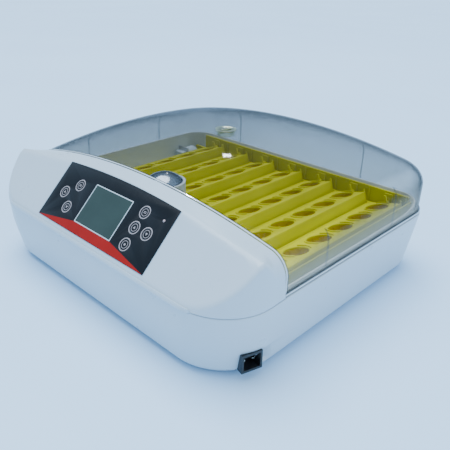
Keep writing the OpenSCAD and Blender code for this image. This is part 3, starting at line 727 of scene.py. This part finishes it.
def vent():
    """The round vent plug in the cover: ring, slotted grille and a finger grip."""
    z = dome_at(VENT_X, VENT_Y)
    b = Build()
    b.lathe([(9.0, -6.8), (11.8, -6.8), (11.9, 0.2), (14.2, 0.5), (15.0, 1.2), (14.8, 2.0),
             (13.6, 2.4), (12.4, 2.2), (11.4, 1.2), (9.4, 0.2), (9.0, -6.8)],
            VENT_X, VENT_Y, z, 64)
    piece("vent_ring", b.verts, b.faces, "vent_plastic", "vent", ("vent_plug",))
    slots = [band(0, 0, 3.2, 7.6, a + 12, a + 78) for a in (0, 90, 180, 270)]
    me = plate([circle(0, 0, 9.6, 48)] + slots, 1.4, shift(VENT_X, VENT_Y, z - 1.2), 0.25)
    finish_mesh(me, "vent_grille", SLOTS["vent_plastic"], "vent", (), 35)
    k = Build()
    k.loft([[(VENT_X + x * f, VENT_Y + y * f, z + h) for x, y in rect(-1.5, 1.5, -9, 9, 1.2)]
            for h, f in ((-0.2, 1.0), (2.6, 1.0), (3.1, 0.9), (3.3, 0.7))], True, True, True)
    piece("vent_grip", k.verts, k.faces, "vent_plastic", "vent")


# ---------------------------------------------------------------- panel

def label_outline():
    """The label's outline on the panel; its upper edge is crowned."""
    w = LABEL_W / 2
    top = [(x, LABEL_CROWN * (1 - (x / w) ** 2)) for x in
           [w - 2 * w * k / 40 for k in range(41)]]
    return [(-w, -LABEL_H), (w, -LABEL_H)] + top


def panel():
    """The label with its red wedge, the display and the seven round keys."""
    holes = [circle(x, y, 6.7, 48) for x, y in KEYS]
    x, y0, y1 = LCD_W / 2, LCD_TOP - LCD_H, LCD_TOP
    panel_plate("label_sheet", [label_outline(), rect(-x, x, y0, y1), circle(*STATUS, 1.7, 24)]
                + holes, 0.0, 0.7, "label_black", replaced=("panel_label",), edge=0.12)
    low, w = -LABEL_H, LABEL_W / 2
    panel_plate("label_wedge", [[(-w + 0.5, low + 0.4), (w - 0.5, low + 0.4),
                                 (x, y0 - 0.1), (-x, y0 - 0.1)]],
                0.55, 0.24, "stripe_red", replaced=("panel_stripe",))
    panel_plate("display_line", [rect(-x, x, y0, y1, 1.0),
                                 rect(-x + 1.2, x - 1.2, y0 + 1.2, y1 - 1.2, 0.5)],
                0.2, 0.75, "bezel_light", replaced=("lcd_bezel",), edge=0.15)
    panel_plate("display_glass", [rect(-x + 1.25, x - 1.25, y0 + 1.25, y1 - 1.25, 0.5)],
                0.1, 0.6, "lcd_glass", replaced=("lcd_window",))
    for i, (kx, ky) in enumerate(KEYS):
        body = "key_%d_cap" % (i + 1)
        panel_plate("key_face_%d" % (i + 1), [circle(kx, ky, 6.3, 48)], -0.6, 1.2, "key_film",
                    body, ("key_%d" % (i + 1),), edge=0.25)
        panel_plate("key_ring_%d" % (i + 1), [circle(kx, ky, 8.0, 48), circle(kx, ky, 6.8, 48)],
                    0.62, 0.2, "bezel_light", mat=RING, edge=0.05)
        panel_plate("key_sign_%d" % (i + 1), [circle(kx, ky, 4.7, 32), circle(kx, ky, 4.1, 32)]
                    + sign(i, kx, ky), 0.55, 0.16, "bezel_light", body, mat=RING)


def sign(i, x, y):
    """Plain generic signs: an up and a down triangle, bars, a dot."""
    if i in (1, 4):
        return [[(x - 1.9, y - 1.2), (x + 1.9, y - 1.2), (x, y + 1.9)]]
    if i in (2, 5):
        return [[(x - 1.9, y + 1.2), (x, y - 1.9), (x + 1.9, y + 1.2)]]
    if i in (0, 3):
        return [rect(x - 2.0, x + 2.0, y + 0.4, y + 1.2), rect(x - 2.0, x + 2.0, y - 1.2, y - 0.4)]
    return [circle(x, y, 1.4, 24)]


# ---------------------------------------------------------------- tray

def tray():
    """The rows' frame: two end plates with ribs at each row, two side walls, four legs."""
    b = Build()
    x0, x1, y0, y1, low = -187.0, 212.6, -110.0, 176.0, 48.0
    end, front_top, rear_top, left_top, right_top = 3.6, 90, 98, 66, 93
    leg, leg_foot = 8, 33
    b.box(x0 + 4, x1 - 4, y0, y0 + end, low, front_top)
    b.box(x0 + 4, x1 - 4, y1 - end, y1, low, rear_top)
    b.box(x0, x0 + 2.6, y0 + 4, y1 - 4, low, left_top)
    b.box(x1 - 1.4, x1 + 0.8, y0 + 2, y1 - 2, low, right_top)
    for x in (x0 + 1, x1 - leg - 1):
        for y in (y0 + 0.2, y1 - leg - 0.2):
            b.box(x, x + leg, y, y + leg, leg_foot, low + 16)
    for i in range(ROWS):
        x = ROW_X0 - i * ROW_PITCH
        b.box(x - 6, x + 6, y1 - 5.4, y1 - 3.4, low + 10, rear_top - 3)
        b.box(x + 24, x + 26, y1 - 5.2, y1 - 3.4, low + 4, rear_top - 0.6)
        b.box(x - 6, x + 6, y0 + 3.4, y0 + 5.0, low + 10, front_top - 1)
    bevel(piece("tray_frame_skin", b.verts, b.faces, "tray_yellow", replaced=("tray_frame",)),
          0.7, 2)


def egg_row_mesh():
    """One row without its cups, level, about its own axis."""
    half, y0, y1, skirt, end = 25.0, -104.0, 164.0, 17.0, 2.6
    cups = [CUP_Y0 - j * CUP_PITCH for j in range(CUPS)]
    holes = [circle(0, y, CUP_R, 56) for y in cups]
    me = plate([rect(1 - half, half - 1, y0 + 1, y1 - 1, 1.5)] + holes, 2.2, shift(0, 0, -1.1),
               0.35)
    b = Build()
    for s in (-1, 1):
        section = [(half - 1.7, -skirt), (half - 0.2, -skirt), (half, 0.4), (half - 0.6, 2.1),
                   (half - 1.7, 2.1), (half - 2.3, 0.6)]
        b.loft([[(s * x, y, z) for x, z in section] for y in (y0, y1)], True, True, True)
    for y in (y0, y1 - end):
        b.box(-half, half, y, y + end, -skirt - 0.5, 1.0)
    # two upright fingers at the rear end
    for finger in ([(-1.6, 0.0), (4.6, 0.0), (3.4, 11.6), (0.2, 11.6)],
                   [(20.5, 0.0), (24.8, 0.0), (24.8, 5.6), (23.4, 5.6)]):
        b.loft([[(x, y, z) for x, z in finger] for y in (y1 - end, y1)], True, True, True)
    # a low collar round each hole, a curved rib on two of its sides
    for y in cups:
        b.lathe([(CUP_R + 0.1, 1.0), (CUP_R + 0.3, 1.5), (CUP_R + 0.9, 1.5), (CUP_R + 1.2, 1.0)],
                0, y, 0, 48)
        for a in (90, 270):
            rib_plan = band(0, 0, 17.2, 18.5, a - 34, a + 34)
            b.loft([[(px * f, y + py * f, z) for px, py in rib_plan]
                    for z, f in ((0.8, 1.0), (2.7, 1.0), (3.0, 0.995))], True, True, True)
    # webs below the plate
    for j in range(CUPS - 1):
        y = (cups[j] + cups[j + 1]) / 2
        b.box(2 - half, half - 2, y - 0.6, y + 0.6, -7.5, -1.0)
    # pivots at both ends, and the peg that the drive bar pushes
    b.lathe([(3.0, 0), (3.0, 11.5), (2.6, 12)], 0, y1 - 0.5, 0, 24, "y", True, True)
    b.lathe([(2.6, -0.2), (3.0, 0.3), (3.0, 6.5)], 0, y0 - 6.5, 0, 24, "y", True, True)
    b.lathe([(2.0, 0), (2.0, 6.6), (1.7, 7.0)], 0, y1 - 0.4, -CRANK, 24, "y", True, True)
    parts = bpy.data.meshes.new("row_parts")
    parts.from_pydata([(x * MM, y * MM, z * MM) for x, y, z in b.verts], [], b.faces)
    bm = bmesh.new()
    bm.from_mesh(me)
    bm.from_mesh(parts)
    bmesh.ops.recalc_face_normals(bm, faces=bm.faces)
    bm.to_mesh(me)
    bm.free()
    bpy.data.meshes.remove(parts)
    return me


def egg_cups(place):
    """The deep cups below one row's holes, each with fins round its inside."""
    b = Build()
    fins = 8
    for j in range(CUPS):
        y = CUP_Y0 - j * CUP_PITCH
        b.lathe([(CUP_R, -1.0), (14.4, -9.0), (13.0, -12.5), (8.0, -14.5), (8.0, -15.5),
                 (13.8, -13.6), (15.4, -9.2), (16.3, -1.0)], 0, y, 0, 40)
        for k in range(fins):
            a = math.radians(360 / fins * k + 22)
            c, s = math.cos(a), math.sin(a)
            b.loft([[(c * r - s * t, y + s * r + c * t, z) for r, t in
                     ((15.2, -0.5), (15.2, 0.5), (13.7, 0.4), (13.7, -0.4))]
                    for z in (-2.0, -9.5)], True, True, True)
    return [place @ Vector((x * MM, y * MM, z * MM)) / MM for x, y, z in b.verts], b.faces


def egg_rows():
    """Seven copies of the row, leaning as they do at rest."""
    base = egg_row_mesh()
    for i in range(ROWS):
        place = shift(ROW_X0 - i * ROW_PITCH, 0, HINGE_Z) \
            @ Matrix.Rotation(math.radians(-REST_TILT), 4, "Y")
        me = base.copy()
        me.transform(place)
        name, body = "egg_row_%d" % (i + 1), "row_%d" % (i + 1)
        bevel(finish_mesh(me, name + "_skin", SLOTS["row_yellow"], body, (name,), 40),
              0.3, 2, 50)
        verts, faces = egg_cups(place)
        # the cups take the darker yellow, painted shade in their hollows
        piece("egg_cups_%d" % (i + 1), verts, faces, "row_yellow", body, mat=SHADED_CUP)
    bpy.data.meshes.remove(base)


def fan_cap():
    """The polished dome over the fan: a spherical cap with a small rolled edge."""
    ball, r, top, steps = 32.0, 23.0, 144.5, 14
    cap = []
    for k in range(steps + 1):
        a = math.asin(r / ball) * (1 - k / steps)
        cap.append((max(0.05, ball * math.sin(a)), top - ball + ball * math.cos(a)))
    foot = cap[0][1]
    edge = [(r - 0.8, foot - 0.3), (r - 0.1, foot - 0.3), (r + 0.1, foot), (r - 0.1, foot + 0.3)]
    b = Build()
    b.lathe(edge + cap[1:], FAN_X, FAN_Y, 0, 72, cap1=True)
    piece("fan_cap_dome", b.verts, b.faces, "cap_polished", replaced=("fan_cap",), sharp=30)


base_shell()
head_shell()
liner()
clear_cover()
vent()
panel()
tray()
egg_rows()
fan_cap()

# every CAD node gets its finish, and those that keep their own shape get softened edges
SOFT = {
    0.8: ("bulkhead", "fan_housing", "water_trough_left", "water_trough_right",
          "foot_front_left", "foot_front_right", "foot_rear_left", "foot_rear_right"),
    0.7: ("inlet_socket",),
    0.6: ("drive_bar", "sensor_clip", "bottom_plate"),
    0.5: ("tilt_arm", "power_transformer", "mains_relay", "lcd_module"),
    0.4: ("motor_bracket", "buzzer", "tilt_motor", "heater_posts", "fan_motor", "wire_harness"),
    0.3: ("fan_rotor", "inlet_pins"),
    0.2: ("control_board", "power_board"),
}
soft_of = {name: width for width, names in SOFT.items() for name in names}
slot_of = {s["node"]: s["material_slot"] for s in frame["record"]["subparts"]}
for name, obj in NODES.items():
    obj.data.materials.clear()
    obj.data.materials.append(SLOTS[slot_of[name]])
    if name in soft_of and not obj.hide_render:
        bevel(obj, soft_of[name], 2, 30)


# ---------------------------------------------------------------- light, floor, camera

def light(name, kind, place, aim, power, color=(1, 1, 1), size=(1, 1), spread=0):
    data = bpy.data.lights.new(name, kind)
    data.energy, data.color = power, color
    if kind == "SUN":
        data.angle = math.radians(spread)
    else:
        data.shape, data.size, data.size_y = "RECTANGLE", size[0], size[1]
    obj = bpy.data.objects.new(name, data)
    obj.location = place
    obj.rotation_mode = "QUATERNION"
    obj.rotation_quaternion = (Vector(aim) - Vector(place)).to_track_quat("-Z", "Y")
    bpy.context.scene.collection.objects.link(obj)


world = bpy.context.scene.world or bpy.data.worlds.new("World")
bpy.context.scene.world = world
world.use_nodes = True
bg = world.node_tree.nodes["Background"]
bg.inputs["Color"].default_value = (0.50, 0.73, 1.0, 1)
bg.inputs["Strength"].default_value = 1.3

MIDDLE = (0, 0, 0.1)
light("overhead", "SUN", (-0.6, 0.1, 2.2), MIDDLE, 4.0, (0.82, 0.92, 1.0), spread=50)
light("right_fill", "AREA", (2.4, 0.2, 1.3), MIDDLE, 16, (0.90, 0.96, 1.0), (1.6, 1.2))
# a small lamp whose glow shows on the cover's top
light("glint", "AREA", (-1.465, 1.492, 1.45), (0.05, 0, 0.16), 3.0, size=(0.07, 0.07))

FLOOR = 30
me = bpy.data.meshes.new("floor")
me.from_pydata([(-FLOOR, -FLOOR, 0), (FLOOR, -FLOOR, 0), (FLOOR, FLOOR, 0), (-FLOOR, FLOOR, 0)],
               [], [(0, 1, 2, 3)])
floor = bpy.data.objects.new("floor", me)
bpy.context.scene.collection.objects.link(floor)
me.materials.append(material("floor_pale", (0.56, 0.78, 1.0), 0.6, 0.02, 2, 60, 0.02))

# the view that the object is looked at from
az, el, roll = math.radians(43.61), math.radians(26.08), math.radians(1.286)
back = Vector((math.sin(az) * math.cos(el), -math.cos(az) * math.cos(el), math.sin(el)))
right = Vector((math.cos(az), math.sin(az), 0))
up = back.cross(right)
cx = right * math.cos(roll) + up * math.sin(roll)
cy = up * math.cos(roll) - right * math.sin(roll)
data = bpy.data.cameras.new("camera")
data.sensor_width, data.lens = 36.0, 42.59
data.clip_start, data.clip_end = 0.01, 100
camera = bpy.data.objects.new("camera", data)
camera.matrix_world = Matrix.Translation((0.48578, -0.47386, 0.37363)) @ Matrix(
    (cx, cy, back)).transposed().to_4x4()
bpy.context.scene.collection.objects.link(camera)
bpy.context.scene.camera = camera
